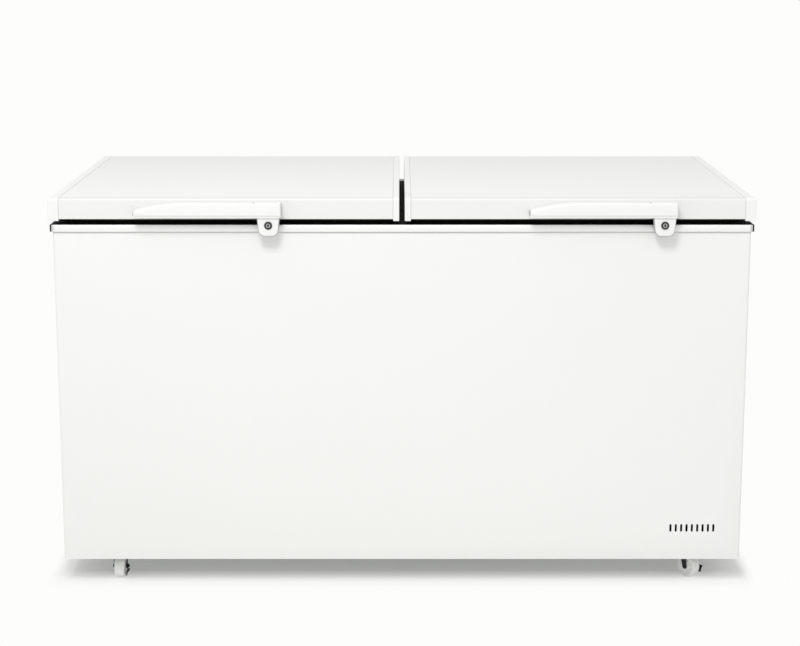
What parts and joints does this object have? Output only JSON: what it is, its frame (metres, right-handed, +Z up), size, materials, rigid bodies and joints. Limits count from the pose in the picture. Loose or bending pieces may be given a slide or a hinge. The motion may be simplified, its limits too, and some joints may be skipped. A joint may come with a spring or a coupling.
{
  "type": "chest freezer",
  "caption": "White commercial chest freezer with hinged split lids, moulded lock handles, black rim seal, front vent slots, storage tank with wire baskets, and swivel casters.",
  "frame": {"origin": "on the floor, under the centre of the bounding box", "axes": "+X to the freezer's right as seen from the front, +Y towards its back, +Z up"},
  "size_m": [1.52, 0.755, 0.878],
  "materials": {
    "painted_steel": "satin",
    "white_plastic": "satin",
    "silver_trim": "satin",
    "black_plastic": "matte",
    "black_rubber": "matte",
    "zinc_steel": "satin",
    "foam": "matte",
    "tank_aluminium": "satin",
    "copper_tube": "satin",
    "black_paint": "satin",
    "dark_metal": "satin",
    "white_nylon": "matte",
    "chrome_core": "polished",
    "coated_wire": "gloss"
  },
  "bodies": {
    "cabinet": {"front_panel": "painted_steel", "side_panel_left": "painted_steel", "side_panel_right": "painted_steel", "back_panel": "painted_steel", "base_plate": "zinc_steel", "insulation": "foam", "inner_tank": "tank_aluminium", "top_rail_front": "silver_trim", "top_rail_rear": "painted_steel", "top_rails_side": "silver_trim", "rim_collar": "black_plastic", "centre_mullion": "black_plastic", "evaporator_coil": "copper_tube", "compressor": "black_paint", "compressor_feet": "black_rubber", "condenser_coil": "black_paint", "fan_shroud": "dark_metal", "refrigerant_lines": "copper_tube", "rear_grille": "painted_steel", "thermostat": "black_plastic", "cord_gland": "black_plastic", "drain_tube": "white_plastic", "hinge_channels": "zinc_steel", "hinge_springs": "zinc_steel", "caster_plates": "zinc_steel", "fasteners": "zinc_steel", "lock_strikes": "zinc_steel"},
    "lid_left": {"lid_skin_left": "painted_steel", "lid_foam_left": "foam", "lid_liner_left": "white_plastic", "lid_end_caps_left": "white_plastic", "gasket_left": "black_rubber", "handle_left": "white_plastic", "lock_bezel_left": "dark_metal", "hinge_leaves_left": "zinc_steel"},
    "lid_right": {"lid_skin_right": "painted_steel", "lid_foam_right": "foam", "lid_liner_right": "white_plastic", "lid_end_caps_right": "white_plastic", "gasket_right": "black_rubber", "handle_right": "white_plastic", "lock_bezel_right": "dark_metal", "hinge_leaves_right": "zinc_steel"},
    "fork_front_left": {"caster_fork_front_left": "dark_metal"},
    "wheel_front_left": {"caster_wheel_front_left": "white_nylon"},
    "brake_left": {"caster_brake_left": "dark_metal"},
    "fork_front_right": {"caster_fork_front_right": "dark_metal"},
    "wheel_front_right": {"caster_wheel_front_right": "white_nylon"},
    "brake_right": {"caster_brake_right": "dark_metal"},
    "fork_rear_left": {"caster_fork_rear_left": "dark_metal"},
    "wheel_rear_left": {"caster_wheel_rear_left": "white_nylon"},
    "fork_rear_right": {"caster_fork_rear_right": "dark_metal"},
    "wheel_rear_right": {"caster_wheel_rear_right": "white_nylon"},
    "lock_left": {"lock_core_left": "chrome_core"},
    "lock_right": {"lock_core_right": "chrome_core"},
    "fan": {"fan_blades": "dark_metal"},
    "thermostat_dial": {"thermostat_knob": "black_plastic"},
    "basket_left_frame": {"basket_left": "coated_wire"},
    "basket_right_frame": {"basket_right": "coated_wire"},
    "drain_stopper": {"drain_plug": "black_rubber"}
  },
  "joints": [
    {"name": "lid_left_hinge", "type": "hinge", "parent": "cabinet", "child": "lid_left", "pos_m": [-0.383, 0.3655, 0.84], "axis": [-1, 0, 0], "range_deg": [0, 80]},
    {"name": "lid_right_hinge", "type": "hinge", "parent": "cabinet", "child": "lid_right", "pos_m": [0.383, 0.3655, 0.84], "axis": [-1, 0, 0], "range_deg": [0, 80]},
    {"name": "swivel_front_left", "type": "hinge", "parent": "cabinet", "child": "fork_front_left", "pos_m": [-0.637, -0.2675, 0.066], "axis": [0, 0, 1], "continuous": true},
    {"name": "roll_front_left", "type": "hinge", "parent": "fork_front_left", "child": "wheel_front_left", "pos_m": [-0.637, -0.2855, 0.025], "axis": [1, 0, 0], "continuous": true},
    {"name": "brake_left_pedal", "type": "hinge", "parent": "fork_front_left", "child": "brake_left", "pos_m": [-0.637, -0.2855, 0.025], "axis": [1, 0, 0], "range_deg": [-25, 0]},
    {"name": "swivel_front_right", "type": "hinge", "parent": "cabinet", "child": "fork_front_right", "pos_m": [0.637, -0.2675, 0.066], "axis": [0, 0, 1], "continuous": true},
    {"name": "roll_front_right", "type": "hinge", "parent": "fork_front_right", "child": "wheel_front_right", "pos_m": [0.64973, -0.28023, 0.025], "axis": [0.7071, 0.7071, 0], "continuous": true},
    {"name": "brake_right_pedal", "type": "hinge", "parent": "fork_front_right", "child": "brake_right", "pos_m": [0.64973, -0.28023, 0.025], "axis": [0.7071, 0.7071, 0], "range_deg": [-25, 0]},
    {"name": "swivel_rear_left", "type": "hinge", "parent": "cabinet", "child": "fork_rear_left", "pos_m": [-0.637, 0.2725, 0.066], "axis": [0, 0, 1], "continuous": true},
    {"name": "roll_rear_left", "type": "hinge", "parent": "fork_rear_left", "child": "wheel_rear_left", "pos_m": [-0.637, 0.2545, 0.025], "axis": [1, 0, 0], "continuous": true},
    {"name": "swivel_rear_right", "type": "hinge", "parent": "cabinet", "child": "fork_rear_right", "pos_m": [0.637, 0.2725, 0.066], "axis": [0, 0, 1], "continuous": true},
    {"name": "roll_rear_right", "type": "hinge", "parent": "fork_rear_right", "child": "wheel_rear_right", "pos_m": [0.637, 0.2545, 0.025], "axis": [1, 0, 0], "continuous": true},
    {"name": "lock_left_turn", "type": "hinge", "parent": "lid_left", "child": "lock_left", "pos_m": [-0.2855, -0.3735, 0.822], "axis": [0, 1, 0], "range_deg": [0, 90]},
    {"name": "lock_right_turn", "type": "hinge", "parent": "lid_right", "child": "lock_right", "pos_m": [0.561, -0.3735, 0.822], "axis": [0, 1, 0], "range_deg": [0, 90]},
    {"name": "fan_spin", "type": "hinge", "parent": "cabinet", "child": "fan", "pos_m": [0.6055, -0.2835, 0.1992], "axis": [0, 1, 0], "continuous": true},
    {"name": "thermostat_turn", "type": "hinge", "parent": "cabinet", "child": "thermostat_dial", "pos_m": [0.7515, -0.1175, 0.2302], "axis": [1, 0, 0], "range_deg": [0, 270]},
    {"name": "basket_left_slide", "type": "slide", "parent": "cabinet", "child": "basket_left_frame", "axis": [1, 0, 0], "range_m": [-0.13, 0.13]},
    {"name": "basket_right_slide", "type": "slide", "parent": "cabinet", "child": "basket_right_frame", "axis": [1, 0, 0], "range_m": [-0.13, 0.13]},
    {"name": "drain_plug_lift", "type": "slide", "parent": "cabinet", "child": "drain_stopper", "axis": [0, 0, 1], "range_m": [0, 0.06]}
  ]
}
